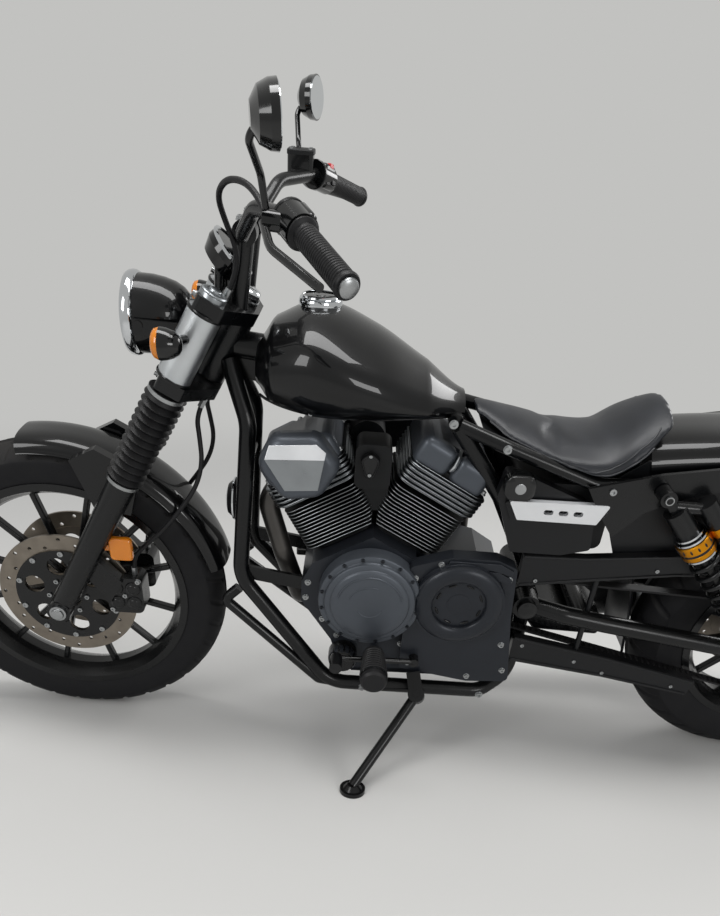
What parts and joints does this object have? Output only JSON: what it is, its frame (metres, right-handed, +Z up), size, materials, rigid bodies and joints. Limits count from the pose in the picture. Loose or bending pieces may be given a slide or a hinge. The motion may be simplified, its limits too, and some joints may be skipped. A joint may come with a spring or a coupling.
{
  "type": "cruiser motorcycle",
  "caption": "Black V-twin cruiser motorcycle leaning on its side stand, with turning steering, two free wheels and a folding stand.",
  "frame": {"origin": "on the ground, under the centre of the bounding box of the parked motorcycle", "axes": "+X forward along the wheelbase, +Y to the rider's left, +Z up; the motorcycle leans 10 degrees to +Y on its side stand"},
  "size_m": [2.2724, 0.846, 1.3022],
  "materials": {
    "gloss_black": "gloss clear coat",
    "satin_black": "satin powder coat",
    "frame_black": "satin",
    "case_grey": "fine textured matte grey",
    "tyre_rubber": "matte",
    "grip_rubber": "matte",
    "seat_leather": "fine grain",
    "bright_steel": "brushed",
    "chrome_trim": "polished",
    "cast_aluminium": "satin",
    "gold_anodised": "satin anodised",
    "matte_plastic": "grained",
    "gloss_plastic": "gloss",
    "amber_plastic": "clear tinted",
    "lamp_glass": "clear",
    "mirror_face": "silvered"
  },
  "bodies": {
    "chassis": {"frame_main": "frame_black", "frame_downtubes": "frame_black", "frame_rails": "frame_black", "seat_rails": "frame_black", "crankcase": "case_grey", "cylinders": "satin_black", "head_covers": "case_grey", "generator_cover": "case_grey", "pulley_cover": "satin_black", "clutch_cover": "case_grey", "side_cap": "case_grey", "air_cleaner": "matte_plastic", "throttle_body": "cast_aluminium", "exhaust": "bright_steel", "fuel_tank": "gloss_black", "fuel_cap": "gloss_black", "seat": "seat_leather", "rear_fender": "gloss_black", "fender_struts": "satin_black", "rear_light": "gloss_plastic", "rear_signals": "gloss_plastic", "plate_holder": "matte_plastic", "side_covers": "matte_plastic", "electric_box": "matte_plastic", "swingarm": "frame_black", "drive_belt": "grip_rubber", "belt_guards": "matte_plastic", "shocks": "cast_aluminium", "shock_springs": "satin_black", "rear_brake": "satin_black", "foot_controls": "satin_black", "horn": "satin_black"},
    "steering": {"fork_legs": "satin_black", "fork_clamps": "satin_black", "fork_gaiters": "grip_rubber", "fork_covers": "bright_steel", "front_fender": "gloss_black", "headlight_shell": "gloss_black", "headlight_lens": "lamp_glass", "front_signals": "gloss_plastic", "handlebar": "satin_black", "grips": "grip_rubber", "hand_controls": "matte_plastic", "mirrors": "matte_plastic", "mirror_glass": "mirror_face", "instrument": "matte_plastic", "front_calipers": "satin_black", "reflectors": "amber_plastic", "hose_left": "grip_rubber", "hose_right": "grip_rubber", "clutch_cable": "grip_rubber"},
    "front_wheel": {"front_tyre": "tyre_rubber", "front_wheel": "satin_black", "front_discs": "bright_steel"},
    "rear_wheel": {"rear_tyre": "tyre_rubber", "rear_wheel": "satin_black", "rear_disc": "bright_steel"},
    "side_stand": {"side_stand": "frame_black"}
  },
  "joints": [
    {"name": "steering_turn", "type": "hinge", "parent": "chassis", "child": "steering", "pos_m": [0.46214, -0.03937, 0.84154], "axis": [-0.4846, 0.1519, 0.8615], "range_deg": [-35, 35]},
    {"name": "front_wheel_spin", "type": "hinge", "parent": "steering", "child": "front_wheel", "pos_m": [0.80518, -0.13012, 0.32676], "axis": [0, 0.9848, -0.1736], "continuous": true},
    {"name": "rear_wheel_spin", "type": "hinge", "parent": "chassis", "child": "rear_wheel", "pos_m": [-0.76482, -0.13151, 0.31928], "axis": [0, 0.9848, -0.1736], "continuous": true},
    {"name": "side_stand_fold", "type": "hinge", "parent": "chassis", "child": "side_stand", "pos_m": [0.04114, 0.00667, 0.16981], "axis": [0.1293, 0.797, 0.59], "range_deg": [0, 115]}
  ]
}
